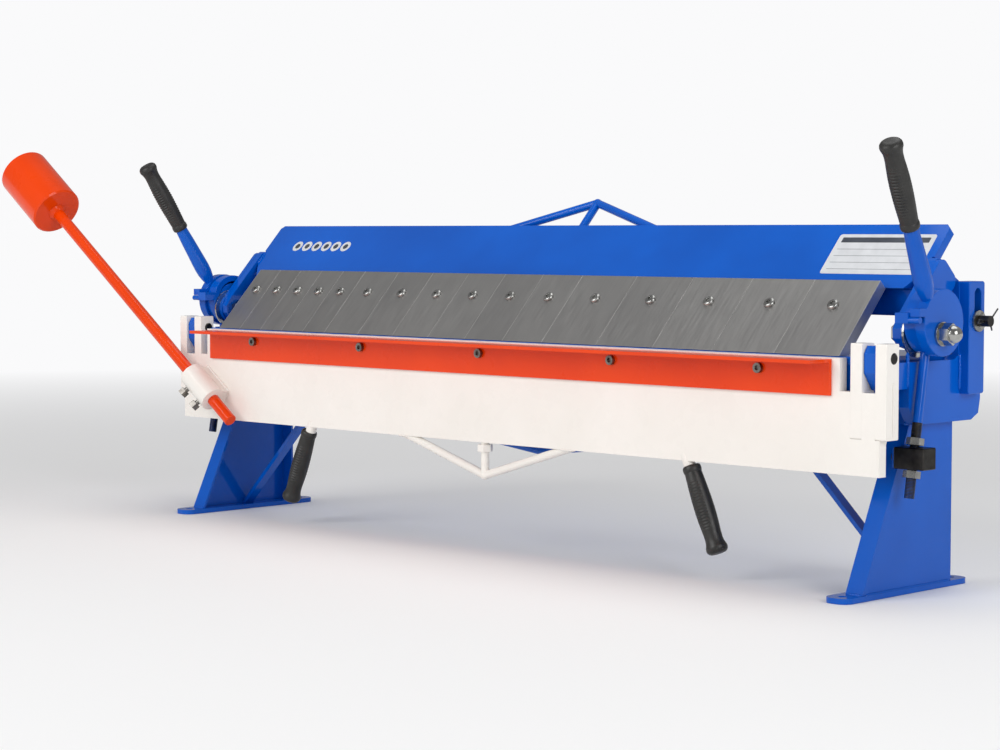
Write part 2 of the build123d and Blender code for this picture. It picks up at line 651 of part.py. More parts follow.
# ---- clamp links -----------------------------------------------------------
link_line = Vector(0, eye_y - anchor_y, eye_z - anchor_z).normalized()
link_low = Vector(link_x, anchor_y, anchor_z) - link_line * 50
link_high = Vector(link_x, eye_y, eye_z) - link_line * (eye_r - 3)
link = x_bar(eye_y, eye_z, eye_r, link_in, link_out)
link = fillet(link.edges().filter_by(GeomType.CIRCLE), 1.0)
link -= x_bar(eye_y, eye_z, eye_bore_r, link_in - 1, link_out + 1)
link += bar(link_low, link_high, link_rod_r)
link += block(link_in, link_out - hair, stop_y - stop_r, eye_y - eye_r + 6, stop_z - stop_r, stop_z + 9)
link += x_bar(stop_y, stop_z, stop_r, link_in, lever_out)
save_pair("clamp_link", link)

trunnion = block(anchor_plate_out + gap, link_x + 24, anchor_y - anchor_half, anchor_y + anchor_half,
                 anchor_z - anchor_half, anchor_z + anchor_half)
trunnion = chamfer(trunnion.edges(), 1.2)
trunnion -= x_bar(anchor_y, anchor_z, anchor_pin_r + running_fit, anchor_plate_out, anchor_pin_end + gap)
trunnion -= bar(link_low, link_high, link_rod_r + hair)
save_pair("trunnion", trunnion)
nut_stand_off = anchor_half + 2.4
nuts = []
for start, end in ((nut_stand_off, nut_stand_off + 9), (-nut_stand_off - 9, -nut_stand_off)):
    middle = Vector(link_x, anchor_y, anchor_z)
    nuts.append(hex_bar(middle + link_line * start, middle + link_line * end, 19)
                - bar(link_low, link_high, link_rod_r + hair))
save("link_nuts_right", *nuts)
save("link_nuts_left", *[mirror(n, about=Plane.YZ) for n in nuts])
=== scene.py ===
import bpy
import math
import numpy as np
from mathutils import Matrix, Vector


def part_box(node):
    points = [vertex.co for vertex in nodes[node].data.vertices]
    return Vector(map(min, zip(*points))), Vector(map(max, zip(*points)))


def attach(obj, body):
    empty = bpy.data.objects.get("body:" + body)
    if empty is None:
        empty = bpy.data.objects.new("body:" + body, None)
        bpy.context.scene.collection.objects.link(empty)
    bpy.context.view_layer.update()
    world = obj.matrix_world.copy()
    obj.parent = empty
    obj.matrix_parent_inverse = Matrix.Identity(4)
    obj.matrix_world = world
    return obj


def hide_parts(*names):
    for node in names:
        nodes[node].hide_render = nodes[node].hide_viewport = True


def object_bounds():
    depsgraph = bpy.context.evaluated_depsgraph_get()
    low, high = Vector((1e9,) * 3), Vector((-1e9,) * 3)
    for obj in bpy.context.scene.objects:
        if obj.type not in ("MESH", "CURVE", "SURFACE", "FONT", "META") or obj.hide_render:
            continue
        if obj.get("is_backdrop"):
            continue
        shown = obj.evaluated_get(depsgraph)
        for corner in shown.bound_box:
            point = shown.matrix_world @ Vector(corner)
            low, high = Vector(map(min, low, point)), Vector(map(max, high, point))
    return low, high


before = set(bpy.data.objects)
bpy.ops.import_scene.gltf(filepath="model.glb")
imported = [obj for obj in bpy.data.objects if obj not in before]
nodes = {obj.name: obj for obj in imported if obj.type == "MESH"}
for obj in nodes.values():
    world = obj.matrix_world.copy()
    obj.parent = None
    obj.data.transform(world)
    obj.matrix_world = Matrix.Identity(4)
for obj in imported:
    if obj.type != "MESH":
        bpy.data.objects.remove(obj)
cad_low, cad_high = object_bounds()

# ---- Stands and feet ------------------------------------------------------
# Folded steel channels welded to flat foot plates, with a flat brace inside each.
# All of it is sprayed with a glossy royal blue paint after welding.


def light(red, green, blue):
    """A display colour as the linear colour that the shaders take."""
    shares = [(c / 255 / 12.92 if c < 11 else ((c / 255 + 0.055) / 1.055) ** 2.4) for c in (red, green, blue)]
    return tuple(shares) + (1,)


def frame_noise(tree, scale, detail=2.0, stretch=(1, 1, 1)):
    """Noise fixed to the machine, so that neighbouring pieces differ."""
    place = tree.nodes.new("ShaderNodeTexCoord")
    mapping = tree.nodes.new("ShaderNodeMapping")
    mapping.inputs["Scale"].default_value = stretch
    noise = tree.nodes.new("ShaderNodeTexNoise")
    noise.inputs["Scale"].default_value = scale
    noise.inputs["Detail"].default_value = detail
    tree.links.new(place.outputs["Object"], mapping.inputs["Vector"])
    tree.links.new(mapping.outputs["Vector"], noise.inputs["Vector"])
    return noise.outputs["Fac"]


def spread(tree, value, low, high):
    """A noise value turned into a number between low and high."""
    ranged = tree.nodes.new("ShaderNodeMapRange")
    ranged.inputs["From Min"].default_value = 0.3
    ranged.inputs["From Max"].default_value = 0.7
    ranged.inputs["To Min"].default_value = low
    ranged.inputs["To Max"].default_value = high
    tree.links.new(value, ranged.inputs["Value"])
    return ranged.outputs["Result"]


def two_tone(tree, value, dark, pale):
    """A colour that goes from dark to pale with a noise value."""
    ramp = tree.nodes.new("ShaderNodeValToRGB")
    ramp.color_ramp.elements[0].position = 0.3
    ramp.color_ramp.elements[1].position = 0.7
    ramp.color_ramp.elements[0].color = dark
    ramp.color_ramp.elements[1].color = pale
    tree.links.new(value, ramp.inputs["Fac"])
    return ramp.outputs["Color"]


def soft_edges(tree, bump_height, bump_depth, edge):
    """A normal with a fine surface, and with broken edges where the piece is flat-sided."""
    bump = tree.nodes.new("ShaderNodeBump")
    if edge:
        rounding = tree.nodes.new("ShaderNodeBevel")
        rounding.samples = 4
        rounding.inputs["Radius"].default_value = edge
        tree.links.new(rounding.outputs["Normal"], bump.inputs["Normal"])
    bump.inputs["Strength"].default_value = 0.35
    bump.inputs["Distance"].default_value = bump_depth
    tree.links.new(bump_height, bump.inputs["Height"])
    return bump.outputs["Normal"]


def sprayed_paint(name, dark, pale, gloss, peel=0.00002, edge=0.0010):
    """Sprayed enamel: a little uneven in tone, with a fine orange-peel surface."""
    paint = bpy.data.materials.new(name)
    paint.use_nodes = True
    tree = paint.node_tree
    shader = tree.nodes["Principled BSDF"]
    tree.links.new(two_tone(tree, frame_noise(tree, 7.0, 3.0), dark, pale), shader.inputs["Base Color"])
    tree.links.new(spread(tree, frame_noise(tree, 34.0, 4.0), gloss * 0.8, gloss * 1.25),
                   shader.inputs["Roughness"])
    tree.links.new(soft_edges(tree, frame_noise(tree, 240.0, 2.0), peel, edge), shader.inputs["Normal"])
    shader.inputs["Specular IOR Level"].default_value = 0.10
    shader.inputs["Coat Weight"].default_value = 0.40
    shader.inputs["Coat Roughness"].default_value = 0.06
    return paint


def finish_nodes(material, *names):
    """Give CAD nodes this finish."""
    for name in names:
        mesh = nodes[name].data
        mesh.materials.clear()
        mesh.materials.append(material)


def piece(name, points, faces, material, smooth=True, crease=35):
    """A mesh object of one finish."""
    mesh = bpy.data.meshes.new(name)
    mesh.from_pydata([tuple(p) for p in points], [], faces)
    mesh.validate()
    mesh.polygons.foreach_set("use_smooth", [smooth] * len(mesh.polygons))
    if smooth:
        mesh.set_sharp_from_angle(angle=math.radians(crease))
    mesh.materials.append(material)
    made = bpy.data.objects.new(name, mesh)
    bpy.context.scene.collection.objects.link(made)
    return made


def frame_across(direction):
    """Two directions square to this one and to each other."""
    helper = Vector((0, 0, 1)) if abs(direction.z) < 0.9 else Vector((0, 1, 0))
    across = direction.cross(helper).normalized()
    return across, direction.cross(across).normalized()


def weld_bead(name, runs, radius, material, body):
    """Runs of welding laid as rows of overlapping pools between pairs of points."""
    points, faces = [], []
    sides = 8
    for start, end in runs:
        start, end = Vector(start), Vector(end)
        direction = (end - start).normalized()
        across, up = frame_across(direction)
        length = (end - start).length
        count = max(6, int(length / 0.0016))
        first = len(points)
        for ring in range(count + 1):
            along = ring / count
            ripple = 1 + 0.16 * math.sin(along * length / 0.0048 * 2 * math.pi)
            wander = 0.10 * math.sin(along * length / 0.031 * 2 * math.pi + 1.3 * start.x * 100)
            taper = min(1.0, 0.25 + min(ring, count - ring) / 2.5)
            size = radius * ripple * taper
            centre = start.lerp(end, along) + across * radius * wander
            for side in range(sides):
                turn = 2 * math.pi * side / sides
                points.append(centre + across * size * math.cos(turn) + up * size * math.sin(turn))
        for ring in range(count):
            for side in range(sides):
                a = first + ring * sides + side
                b = first + ring * sides + (side + 1) % sides
                faces.append((a, b, b + sides, a + sides))
        faces.append(tuple(first + side for side in reversed(range(sides))))
        faces.append(tuple(first + count * sides + side for side in range(sides)))
    bead = piece(name, points, faces, material, crease=80)
    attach(bead, body)
    return bead


round_peel = 0.000006  # round bars have a flatter surface and no edges to soften
blue_tones = (light(0, 81, 180), light(1, 91, 196))
blue_paint = sprayed_paint("royal_blue_paint", *blue_tones, 0.20)
blue_round_paint = sprayed_paint("royal_blue_round_paint", *blue_tones, 0.20, peel=round_peel, edge=0)
finish_nodes(blue_paint, "foot_plates", "stand_left", "stand_right", "braces", "anchor_plates")

stand_low, stand_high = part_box("stand_right")
foot_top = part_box("foot_plates")[1].z
stand_runs = []
for sign in (1, -1):
    wall = sign * stand_high.x
    stand_runs.append(((wall, stand_low.y + 0.006, foot_top), (wall, stand_high.y - 0.004, foot_top)))
    inner = sign * (stand_low.x + 0.001)
    stand_runs.append(((inner, stand_low.y, foot_top), (wall - sign * 0.002, stand_low.y, foot_top)))
weld_bead("stand_welds", stand_runs, 0.0022, blue_paint, "frame")

# ---- Bed --------------------------------------------------------------------
# A flat table over two webs, welded between two thick side plates.
# A bent rod under the middle is drawn tight by a nut, to keep the table straight.
finish_nodes(blue_round_paint, "bed_truss_rod", "bed_truss_nut")
finish_nodes(blue_paint, "bed_table", "bed_front_web", "bed_rib",
             "bed_side_plate_left", "bed_side_plate_right", "guide_brackets", "hinge_lugs")

side_low, side_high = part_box("bed_side_plate_right")
bracket_low, bracket_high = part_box("guide_brackets")
lug_low, lug_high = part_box("hinge_lugs")
bed_runs = []
for sign in (1, -1):
    seam = sign * (side_high.x + 0.0006)
    for y, rise in ((bracket_low.y, 0.052), (bracket_high.y, 0.046)):
        bed_runs.append(((seam, y, bracket_low.z + 0.006), (seam, y, bracket_low.z + rise)))
    edge = sign * side_low.x
    bed_runs.append(((edge, side_low.y + 0.012, side_low.z + 0.001),
                     (edge, side_high.y - 0.030, side_low.z + 0.001)))
    lug_face = sign * (lug_high.x - 0.0004)
    bed_runs.append(((lug_face, lug_high.y, lug_low.z + 0.002), (lug_face, lug_high.y, side_high.z - 0.085)))
weld_bead("bed_welds", bed_runs, 0.0024, blue_paint, "frame")

# ---- Apron ------------------------------------------------------------------
# The folding leaf: a thick plate hung on a fork at each end, painted cream white.
# A bent rod below keeps it straight, welded at both feet.
white_tones = (light(237, 233, 226), light(243, 239, 233))
white_paint = sprayed_paint("cream_white_paint", *white_tones, 0.28, edge=0.0004)
white_round_paint = sprayed_paint("cream_white_round_paint", *white_tones, 0.28, peel=round_peel, edge=0)
finish_nodes(white_paint, "apron_plate", "hinge_cheeks_left", "hinge_cheeks_right")
finish_nodes(white_round_paint, "apron_truss_rod", "apron_truss_nut",
             "apron_handle_left", "apron_handle_right", "counterweight_sleeve")

apron_low, apron_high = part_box("apron_plate")
truss_low, truss_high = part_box("apron_truss_rod")
truss_y = (truss_low.y + truss_high.y) / 2
cheek_low, cheek_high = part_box("hinge_cheeks_right")
apron_runs = []
for sign in (1, -1):
    foot = sign * (truss_high.x - 0.008)
    apron_runs.append(((foot - sign * 0.020, truss_y - 0.006, apron_low.z),
                       (foot + sign * 0.004, truss_y - 0.006, apron_low.z)))
    apron_runs.append(((sign * cheek_high.x, apron_high.y, cheek_low.z + 0.004),
                       (sign * cheek_high.x, apron_high.y, cheek_low.z + 0.070)))
weld_bead("apron_welds", apron_runs, 0.0019, white_paint, "apron")

# ---- Bending angle ------------------------------------------------------------
# An orange steel angle along the top of the apron, which presses the sheet up.
# Five socket-head cap screws hold it on.
orange_tones = (light(224, 60, 0), light(233, 67, 0))
orange_paint = sprayed_paint("signal_orange_paint", *orange_tones, 0.30, edge=0.0006)
orange_round_paint = sprayed_paint("signal_orange_round_paint", *orange_tones, 0.30, peel=round_peel, edge=0)
finish_nodes(orange_paint, "apron_angle")
finish_nodes(orange_round_paint, "counterweight", "counterweight_rod")


def bare_metal(name, dark, pale, rough, scratch=(1, 1, 1), grain=90.0, depth=0.00003, edge=0.0005):
    """Unpainted metal with fine marks left by how it was made."""
    metal = bpy.data.materials.new(name)
    metal.use_nodes = True
    tree = metal.node_tree
    shader = tree.nodes["Principled BSDF"]
    shader.inputs["Metallic"].default_value = 1.0
    marks = frame_noise(tree, grain, 4.0, scratch)
    tree.links.new(two_tone(tree, marks, dark, pale), shader.inputs["Base Color"])
    tree.links.new(spread(tree, frame_noise(tree, grain * 0.6, 3.0, scratch), rough * 0.8, rough * 1.25),
                   shader.inputs["Roughness"])
    tree.links.new(soft_edges(tree, marks, depth, edge), shader.inputs["Normal"])
    return metal


black_steel = bare_metal("black_oxide_steel", light(44, 43, 42), light(70, 68, 66), 0.36)
screw_steel = bare_metal("dull_screw_steel", light(104, 100, 96), light(150, 146, 140), 0.30)
finish_nodes(screw_steel, "angle_screws")
finish_nodes(black_steel, "hinge_pins")

# ---- Grips ----------------------------------------------------------------------
# Moulded black rubber grips pushed on to the rod ends of the handles and levers.
# Each has a bead at its foot, a swollen middle with fine ribs, and a flared end.


def axis_of(node):
    """The two ends of a round node's centre line, from its own points."""
    mesh = nodes[node].data
    places = np.empty(len(mesh.vertices) * 3)
    mesh.vertices.foreach_get("co", places)
    places = np.unique(np.round(places.reshape(-1, 3), 5), axis=0)
    centre = places.mean(axis=0)
    direction = np.linalg.svd(places - centre, full_matrices=False)[2][0]
    along = (places - centre) @ direction
    if direction[2] < 0:
        direction, along = -direction, -along
    return Vector(centre + direction * along.min()), Vector(centre + direction * along.max())


def turned(name, start, end, outline, material, facing=(0, -1, 0), sides=64, carve=None):
    """A turned piece: outline gives (distance from start, radius), in metres."""
    start, end = Vector(start), Vector(end)
    direction = (end - start).normalized()
    front = Vector(facing)
    front = (front - direction * front.dot(direction)).normalized()
    beside = direction.cross(front)
    points, faces = [], []
    for along, radius in outline:
        for side in range(sides):
            turn = 2 * math.pi * side / sides
            size = radius + (carve(along, turn) if carve else 0)
            points.append(start + direction * along
                          + front * size * math.cos(turn) + beside * size * math.sin(turn))
    for ring in range(len(outline) - 1):
        for side in range(sides):
            a = ring * sides + side
            b = ring * sides + (side + 1) % sides
            faces.append((a, b, b + sides, a + sides))
    faces.append(tuple(reversed(range(sides))))
    faces.append(tuple(range((len(outline) - 1) * sides, len(outline) * sides)))
    return piece(name, points, faces, material)


def rubber(name):
    """Moulded black rubber, slightly mottled, with a soft sheen."""
    moulded = bpy.data.materials.new(name)
    moulded.use_nodes = True
    tree = moulded.node_tree
    shader = tree.nodes["Principled BSDF"]
    tone = two_tone(tree, frame_noise(tree, 45.0, 3.0), light(24, 24, 23), light(40, 39, 37))
    tree.links.new(tone, shader.inputs["Base Color"])
    tree.links.new(spread(tree, frame_noise(tree, 150.0, 3.0), 0.38, 0.52), shader.inputs["Roughness"])
    bump = tree.nodes.new("ShaderNodeBump")
    bump.inputs["Strength"].default_value = 0.5
    bump.inputs["Distance"].default_value = 0.00008
    tree.links.new(frame_noise(tree, 900.0, 2.0), bump.inputs["Height"])
    tree.links.new(bump.outputs["Normal"], shader.inputs["Normal"])
    return moulded


grip_rubber = rubber("black_grip_rubber")
# distance from the flared end, and radius, in millimetres
grip_sections = [(0.0, 0.6), (0.0, 7.5), (0.5, 10.0), (1.8, 12.2), (4.0, 13.9), (7.0, 14.5), (9.5, 14.2),
                 (12.0, 13.2), (15.5, 12.2), (20.0, 11.7), (27.0, 11.8), (36.0, 12.5), (48.0, 13.2),
                 (62.0, 13.45), (76.0, 13.2), (90.0, 12.6), (101.0, 11.9), (108.0, 11.5), (110.5, 11.3),
                 (111.5, 11.9), (114.0, 12.3), (117.0, 12.2), (119.0, 11.6), (120.0, 10.4), (120.0, 8.2)]


def grip_outline():
    """The grip's sections, with fine steps through the ribbed middle."""
    steps = sorted({s for s, r in grip_sections} | {30 + 0.5 * i for i in range(146)})
    radii = np.interp(steps, [s for s, r in grip_sections[1:-1]], [r for s, r in grip_sections[1:-1]])
    middle = [(s / 1000, r / 1000) for s, r in zip(steps, radii)]
    return [(0.0, 0.0006)] + middle + [(0.120, 0.0082)]


def grip_ribs(along, turn):
    """Fine ribs on the two flat sides of the grip, fading out at the edges of the panel."""
    ribs_from, ribs_to, pitch, height = 0.033, 0.100, 0.0041, 0.00055
    if not ribs_from < along < ribs_to:
        return 0.0
    fade = math.sin(math.pi * (along - ribs_from) / (ribs_to - ribs_from)) ** 0.35
    sideways = max(0.0, 1 - (abs(math.sin(turn)) / 0.80) ** 6)
    return height * fade * sideways * (math.cos(2 * math.pi * along / pitch) - 0.6)


for side in ("left", "right"):
    for grip, body, tip_is_high in ((f"apron_grip_{side}", "apron", False),
                                    (f"lever_grip_{side}", f"lever_{side}", True)):
        low, high = axis_of(grip)
        tip, foot = (high, low) if tip_is_high else (low, high)
        shaped = turned(f"ribbed_{grip}", tip, foot, grip_outline(), grip_rubber, carve=grip_ribs)
        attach(shaped, body)
        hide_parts(grip)

# ---- Counterweight ------------------------------------------------------------------
# A solid cylinder on a round bar, held in a white sleeve welded to the apron.
# Two hexagon bolts pinch the bar, so the weight can be moved.
finish_nodes(screw_steel, "sleeve_set_bolts")
bar_low, bar_high = axis_of("counterweight_rod")
bar_way = (bar_high - bar_low).normalized()
collar = [(0.0, 0.0150), (0.001, 0.0146), (0.0025, 0.0128), (0.0045, 0.0110),
          (0.007, 0.0098), (0.007, 0.0080)]
weight_weld = turned("counterweight_weld", bar_high - bar_way * 0.0003, bar_low, collar,
                     orange_round_paint, sides=40)
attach(weight_weld, "apron")

sleeve_low, sleeve_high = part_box("counterweight_sleeve")
sleeve_across = Vector((-bar_way.z, 0, bar_way.x))
sleeve_middle = (sleeve_low + sleeve_high) / 2
sleeve_face = apron_low.y - 0.0002
sleeve_runs = []
for sign in (1, -1):
    seam = Vector((sleeve_middle.x, sleeve_face, sleeve_middle.z)) + sleeve_across * 0.0152 * sign
    sleeve_runs.append((seam - bar_way * 0.034, seam + bar_way * 0.034))
weld_bead("sleeve_welds", sleeve_runs, 0.0024, white_paint, "apron")

# ---- Clamp beam -----------------------------------------------------------------------
# A long sloping plate with a square tube behind it and a shaped plate at each end.
# A bent rod on its upper edge, welded at three places, keeps the middle from bowing.
finish_nodes(blue_paint, "beam_plate", "beam_end_plate_left", "beam_end_plate_right",
             "beam_tube", "pivot_straps")
finish_nodes(blue_round_paint, "beam_truss_rod")

slope = math.radians(47)
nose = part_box("wide_fingers")[0]


def on_beam(x, along, depth):
    """A place on the sloping beam, along it from the finger nose and behind the finger face."""
    return Vector((x, nose.y + along * math.cos(slope) + depth * math.sin(slope),
                   nose.z + along * math.sin(slope) - depth * math.cos(slope)))


truss_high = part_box("beam_truss_rod")[1]
end_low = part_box("beam_end_plate_right")[0]
plate_front = 0.01502  # the beam plate lies this far behind the finger faces
fold = 0.126
foot_along, foot_depth = 0.2352, plate_front + 0.0150
post_along, post_depth = 0.2350, plate_front + 0.0140
beam_runs = []
for sign in (1, -1):
    beam_runs.append((on_beam(sign * (end_low.x - 0.0002), fold + 0.026, plate_front),
                      on_beam(sign * (end_low.x - 0.0002), fold + 0.052, plate_front)))
    foot = sign * (truss_high.x - 0.010)
    beam_runs.append((on_beam(foot - sign * 0.034, foot_along, foot_depth),
                      on_beam(foot, foot_along, foot_depth)))
beam_runs.append((on_beam(-0.008, post_along, post_depth), on_beam(0.008, post_along, post_depth)))
weld_bead("beam_welds", beam_runs, 0.0022, blue_paint, "clamp_beam")

# ---- Plates and discs on the beam ----------------------------------------------------------
# A pale printed plate with nothing but ruled lines, and six plain round discs.
# They stand for the stickers of the real machine, whose words and signs are left out.


def sticker(name, tone_low, tone_high, rough=0.35):
    """Printed plastic film with a faint unevenness."""
    film = bpy.data.materials.new(name)
    film.use_nodes = True
    tree = film.node_tree
    shader = tree.nodes["Principled BSDF"]
    tree.links.new(two_tone(tree, frame_noise(tree, 60.0, 2.0), tone_low, tone_high),
                   shader.inputs["Base Color"])
    tree.links.new(spread(tree, frame_noise(tree, 200.0, 2.0), rough * 0.85, rough * 1.2),
                   shader.inputs["Roughness"])
    return film


pale_film = sticker("pale_film", light(205, 207, 210), light(216, 218, 221))
grey_print = sticker("grey_print", light(112, 116, 122), light(128, 132, 138))
dark_print = sticker("dark_print", light(52, 58, 68), light(66, 72, 82))


def film_shape(name, outline, level, material):
    """A thin film on the beam, from corners given as (x, along the slope)."""
    top = [on_beam(x, along, plate_front - level) for x, along in outline]
    base = [on_beam(x, along, plate_front + 0.0001) for x, along in outline]
    count = len(outline)
    faces = [tuple(range(count)), tuple(reversed(range(count, 2 * count)))]
    faces += [(i, count + i, count + (i + 1) % count, (i + 1) % count) for i in range(count)]
    made = piece(name, top + base, faces, material, smooth=False)
    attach(made, "clamp_beam")
    return made


def rounded_oblong(x0, x1, s0, s1, corner):
    """Corners of an oblong with rounded corners."""
    centres = ((x1 - corner, s1 - corner, 0), (x0 + corner, s1 - corner, 90),
               (x0 + corner, s0 + corner, 180), (x1 - corner, s0 + corner, 270))
    outline = []
    for cx, cs, start in centres:
        for step in range(7):
            turn = math.radians(start + step * 15)
            outline.append((cx + corner * math.cos(turn), cs + corner * math.sin(turn)))
    return outline


def round_outline(middle, along, radius, half_steps):
    """Points round a disc, with this many steps to each half turn."""
    outline = []
    for step in range(2 * half_steps):
        turn = step * math.pi / half_steps
        outline.append((middle + radius * math.cos(turn), along + radius * math.sin(turn)))
    return outline


film_rise, print_rise = 0.00025, 0.0003
film_shape("name_plate", rounded_oblong(0.493, 0.644, 0.149, 0.218, 0.004), film_rise, pale_film)
for line in range(4):
    level = 0.157 + line * 0.0115
    rule = rounded_oblong(0.500, 0.637, level, level + 0.0007, 0.0003)
    film_shape(f"name_plate_rule_{line}", rule, print_rise, grey_print)
film_shape("name_plate_band", rounded_oblong(0.500, 0.637, 0.2035, 0.2125, 0.001), print_rise, dark_print)
first_disc, disc_pitch, disc_along = -0.582, 0.0234, 0.1906
disc_radius, dot_radius = 0.0102, 0.0052
for disc in range(6):
    middle = first_disc + disc * disc_pitch
    film_shape(f"round_disc_{disc}", round_outline(middle, disc_along, disc_radius, 20), film_rise, pale_film)
    film_shape(f"round_disc_dot_{disc}", round_outline(middle, disc_along, dot_radius, 14), print_rise,
               dark_print)

# ---- Fingers --------------------------------------------------------------------------------
# Sixteen ground steel blades of three widths, which hold the sheet down along the bend.
# Each is held by one zinc-plated button-head screw, and may be moved or left out.


def ground_blades(name, first_edge, width):
    """Satin ground steel: fine marks down each blade, each blade a little different in tone, and a painted
    highlight along each blade's edges.
    """
    metal = bpy.data.materials.new(name)
    metal.use_nodes = True
    tree = metal.node_tree
    shader = tree.nodes["Principled BSDF"]
    shader.inputs["Metallic"].default_value = 1.0
    place = tree.nodes.new("ShaderNodeTexCoord")
    parts = tree.nodes.new("ShaderNodeSeparateXYZ")
    tree.links.new(place.outputs["Object"], parts.inputs["Vector"])

    def sum_of(kind, first, second=None):
        step = tree.nodes.new("ShaderNodeMath")
        step.operation = kind
        for socket, value in zip(step.inputs, (first, second)):
            if value is None:
                continue
            if isinstance(value, (int, float)):
                socket.default_value = value
            else:
                tree.links.new(value, socket)
        return step.outputs["Value"]

    share = sum_of("DIVIDE", sum_of("SUBTRACT", parts.outputs["X"], first_edge), width)
    which = sum_of("FLOOR", share)
    tone = tree.nodes.new("ShaderNodeTexWhiteNoise")
    tone.noise_dimensions = "1D"
    tree.links.new(which, tone.inputs["W"])
    marks = frame_noise(tree, 420.0, 5.0, (1.0, 0.06, 0.06))
    mottle = frame_noise(tree, 9.0, 3.0)
    level = sum_of("ADD", sum_of("MULTIPLY", tone.outputs["Value"], 0.14), sum_of("MULTIPLY", marks, 0.45))
    level = sum_of("ADD", level, sum_of("MULTIPLY", mottle, 0.40))
    face = two_tone(tree, level, light(158, 157, 156), light(174, 173, 171))
    # Painted highlight: a paler colour along the edges of each blade, standing in for the light caught by the
    # chamfered edges at the seams between blades.
    edge_highlight_mask = sum_of("LESS_THAN", sum_of("MULTIPLY", sum_of("PINGPONG", share, 0.5), width), 0.0006)
    seam = tree.nodes.new("ShaderNodeMix")
    seam.data_type = "RGBA"
    seam.inputs["B"].default_value = light(205, 204, 202)
    tree.links.new(edge_highlight_mask, seam.inputs["Factor"])
    tree.links.new(face, seam.inputs["A"])
    tree.links.new(seam.outputs["Result"], shader.inputs["Base Color"])
    tree.links.new(spread(tree, marks, 0.40, 0.50), shader.inputs["Roughness"])
    tree.links.new(soft_edges(tree, marks, 0.00002, 0.0006), shader.inputs["Normal"])
    return metal


for fingers in ("narrow_fingers", "medium_fingers", "wide_fingers"):
    low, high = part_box(fingers)
    count = {"narrow_fingers": 5, "medium_fingers": 6, "wide_fingers": 5}[fingers]
    finish_nodes(ground_blades(f"ground_{fingers}", low.x, (high.x - low.x) / count), fingers)
zinc_steel = bare_metal("bright_zinc_steel", light(140, 140, 138), light(176, 176, 173), 0.26)
finish_nodes(zinc_steel, "finger_screws")

# ---- Guide pins ---------------------------------------------------------------------------------
# A pin through a slot at each end guides the beam as it rises, with a washer outside.
# A split pin of thin wire, with its legs bent well apart, keeps the washer on.
finish_nodes(black_steel, "guide_pins")
finish_nodes(zinc_steel, "guide_washers")
cotter_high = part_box("cotter_pins")[1]
pin_low, pin_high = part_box("guide_pins")
cotter_steel = bare_metal("cotter_wire", light(70, 70, 72), light(112, 112, 114), 0.35)
for side, sign in (("left", -1), ("right", 1)):
    x = sign * (cotter_high.x - 0.0016)
    y = (pin_low.y + pin_high.y) / 2
    z = (pin_low.z + pin_high.z) / 2
    wire = bpy.data.curves.new(f"split_pin_{side}", "CURVE")
    wire.dimensions = "3D"
    wire.bevel_depth = 0.0011
    wire.bevel_resolution = 4
    for lean in (1, -1):
        leg = wire.splines.new("NURBS")
        route = [(0, -0.0165, 0.0), (0.0012 * lean, -0.0185, 0.002 * lean), (0, -0.0145, 0.0018 * lean),
                 (0, -0.008, 0.0008 * lean), (0, 0.006, 0.0009 * lean), (0, 0.0085, 0.0012 * lean)]
        if lean > 0:
            route += [(0, 0.0120, 0.003), (0, 0.0260, 0.0150)]
        else:
            route += [(0, 0.0095, -0.003), (0, 0.0130, -0.0120)]
        leg.points.add(len(route) - 1)
        for point, (dx, dy, dz) in zip(leg.points, route):
            point.co = (x + sign * dx, y + dy, z + dz, 1)
        leg.order_u = 3
        leg.use_endpoint_u = True
    pin = bpy.data.objects.new(f"split_pin_{side}", wire)
    wire.materials.append(cotter_steel)
    bpy.context.scene.collection.objects.link(pin)
    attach(pin, "clamp_beam")
    if sign > 0:
        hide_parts("cotter_pins")

# ---- Pivot bolts ----------------------------------------------------------------------------------
# Each clamp lever turns on a thick bolt through the end plate of the beam.
# A large plain washer sits behind it, and a washer and a domed nut close it outside.
nut_steel = bare_metal("plated_nut_steel", light(150, 150, 147), light(196, 196, 192), 0.20)
finish_nodes(nut_steel, "pivot_bolts", "pivot_washers", "dome_nuts")

# ---- Clamp levers ----------------------------------------------------------------------------------
# A round disc with an offset bore, welded to a forged rod that tapers towards the grip.
# Pulling the rod forward and down turns the disc in its ring and lifts the beam.
finish_nodes(blue_paint, "lever_hub_left", "lever_hub_right")
for side in ("left", "right"):
    low, high = axis_of(f"lever_grip_{side}")
    way = (high - low).normalized()
    rod_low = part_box(f"lever_rod_{side}")[0]
    length = (low.z - rod_low.z) / way.z
    foot = low - way * (length - 0.004)
    reach = (low - foot).length
    rod = [(0.0, 0.0074), (0.004, 0.0086), (0.010, 0.0102), (0.018, 0.0116), (0.028, 0.0121),
           (0.040, 0.0118), (0.055, 0.0112), (0.075, 0.0106), (reach, 0.0093),
           (reach + 0.004, 0.0091), (reach + 0.004, 0.0040)]
    shaped = turned(f"forged_lever_rod_{side}", foot, low, rod, blue_round_paint, sides=40)
    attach(shaped, f"lever_{side}")
    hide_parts(f"lever_rod_{side}")

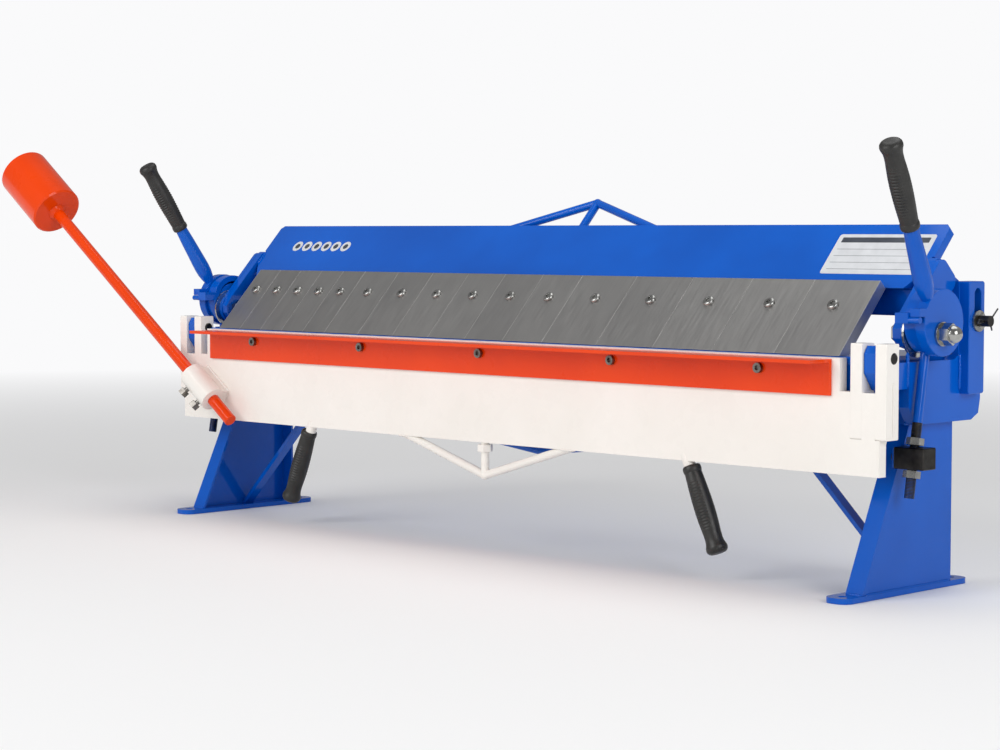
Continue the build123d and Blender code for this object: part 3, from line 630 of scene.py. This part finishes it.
# ---- Clamp links -------------------------------------------------------------------------------------
# A ring round each disc, welded to a threaded rod that is pinned to the stand.
# Two nuts on a square black block set the clamping height.
finish_nodes(blue_paint, "clamp_link_left", "clamp_link_right")
finish_nodes(black_steel, "trunnion_left", "trunnion_right")
finish_nodes(zinc_steel, "link_nuts_left", "link_nuts_right")
finish_nodes(black_steel, "anchor_pins")
for side in ("left", "right"):
    nut_low, nut_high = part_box(f"link_nuts_{side}")
    link_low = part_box(f"clamp_link_{side}")[0]
    mesh = nodes[f"clamp_link_{side}"].data
    low_points = [v.co for v in mesh.vertices if v.co.z < link_low.z + 0.004]
    rod_foot = sum((Vector(p) for p in low_points), Vector()) / len(low_points)
    nut_y, nut_z = (nut_low.y + nut_high.y) / 2, (nut_low.z + nut_high.z) / 2
    rod_way = Vector((0, nut_y - rod_foot.y, nut_z - rod_foot.z)).normalized()
    pitch, depth, thread_length = 0.00175, 0.00045, 0.094
    rings = int(thread_length / pitch * 4)
    thread = [(0.0005, 0.0050)]
    for ring in range(rings):
        crest = (0.0, 0.5, 1.0, 0.5)[ring % 4]
        thread.append((0.0008 + ring * pitch / 4, 0.0060 + depth * crest))
    thread.append((0.0008 + rings * pitch / 4, 0.0060))
    made = turned(f"rod_thread_{side}", rod_foot - rod_way * 0.0006, rod_foot + rod_way * 0.1, thread,
                  black_steel, sides=24)
    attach(made, f"link_{side}")

# ---- Floor, light and camera ----------------------------------------------------------------------------
# A plain pale floor that fades into a pale room, lit by large soft panels.
floor_mesh = bpy.data.meshes.new("floor")
reach = 60.0
floor_z = cad_low.z - 0.0002
floor_corners = [(-reach, -reach, floor_z), (reach, -reach, floor_z),
                 (reach, reach, floor_z), (-reach, reach, floor_z)]
floor_mesh.from_pydata(floor_corners, [], [(0, 1, 2, 3)])
floor = bpy.data.objects.new("floor", floor_mesh)
bpy.context.scene.collection.objects.link(floor)
floor_paint = bpy.data.materials.new("pale_floor")
floor_paint.use_nodes = True
tree = floor_paint.node_tree
shader = tree.nodes["Principled BSDF"]
shader.inputs["Base Color"].default_value = light(246, 246, 246)
shader.inputs["Roughness"].default_value = 0.75
glow = tree.nodes.new("ShaderNodeEmission")
glow.inputs["Color"].default_value = light(250, 250, 251)
place = tree.nodes.new("ShaderNodeTexCoord")
distance = tree.nodes.new("ShaderNodeVectorMath")
distance.operation = "LENGTH"
fade = tree.nodes.new("ShaderNodeMapRange")
fade.inputs["From Min"].default_value = 1.2
fade.inputs["From Max"].default_value = 4.5
mix = tree.nodes.new("ShaderNodeMixShader")
tree.links.new(place.outputs["Object"], distance.inputs[0])
tree.links.new(distance.outputs["Value"], fade.inputs["Value"])
tree.links.new(fade.outputs["Result"], mix.inputs["Fac"])
tree.links.new(shader.outputs["BSDF"], mix.inputs[1])
tree.links.new(glow.outputs["Emission"], mix.inputs[2])
tree.links.new(mix.outputs["Shader"], tree.nodes["Material Output"].inputs["Surface"])
floor_mesh.materials.append(floor_paint)
floor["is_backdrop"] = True

room = bpy.data.worlds.new("pale_room")
room.use_nodes = True
tree = room.node_tree
walls = tree.nodes["Background"]
walls.inputs["Color"].default_value = light(250, 250, 251)
seen = tree.nodes.new("ShaderNodeLightPath")
strength = tree.nodes.new("ShaderNodeMapRange")
strength.inputs["To Min"].default_value = 0.34
strength.inputs["To Max"].default_value = 1.0
tree.links.new(seen.outputs["Is Camera Ray"], strength.inputs["Value"])
tree.links.new(strength.outputs["Result"], walls.inputs["Strength"])
bpy.context.scene.world = room
for name, place, size, power in (("front_panel", (-0.7, -3.4, 1.9), 2.4, 74),
                                 ("right_panel", (3.4, -0.9, 1.5), 1.8, 46),
                                 ("top_panel", (0.2, 0.6, 3.0), 2.4, 30)):
    panel = bpy.data.lights.new(name, "AREA")
    panel.shape = "SQUARE"
    panel.size = size
    panel.energy = power
    lamp = bpy.data.objects.new(name, panel)
    lamp.location = place
    lamp.rotation_euler = (Vector((0, 0, 0.25)) - Vector(place)).to_track_quat("-Z", "Y").to_euler()
    bpy.context.scene.collection.objects.link(lamp)

lens = bpy.data.cameras.new("camera")
lens.lens = 84.25
lens.sensor_width = 36
camera = bpy.data.objects.new("camera", lens)
camera.location = (2.33998, -2.41366, 0.4495)
camera.rotation_euler = (math.radians(90 - 3.49), 0, math.radians(44.8))
bpy.context.scene.collection.objects.link(camera)
bpy.context.scene.camera = camera
bpy.context.scene.view_settings.view_transform = "Standard"

low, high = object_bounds()
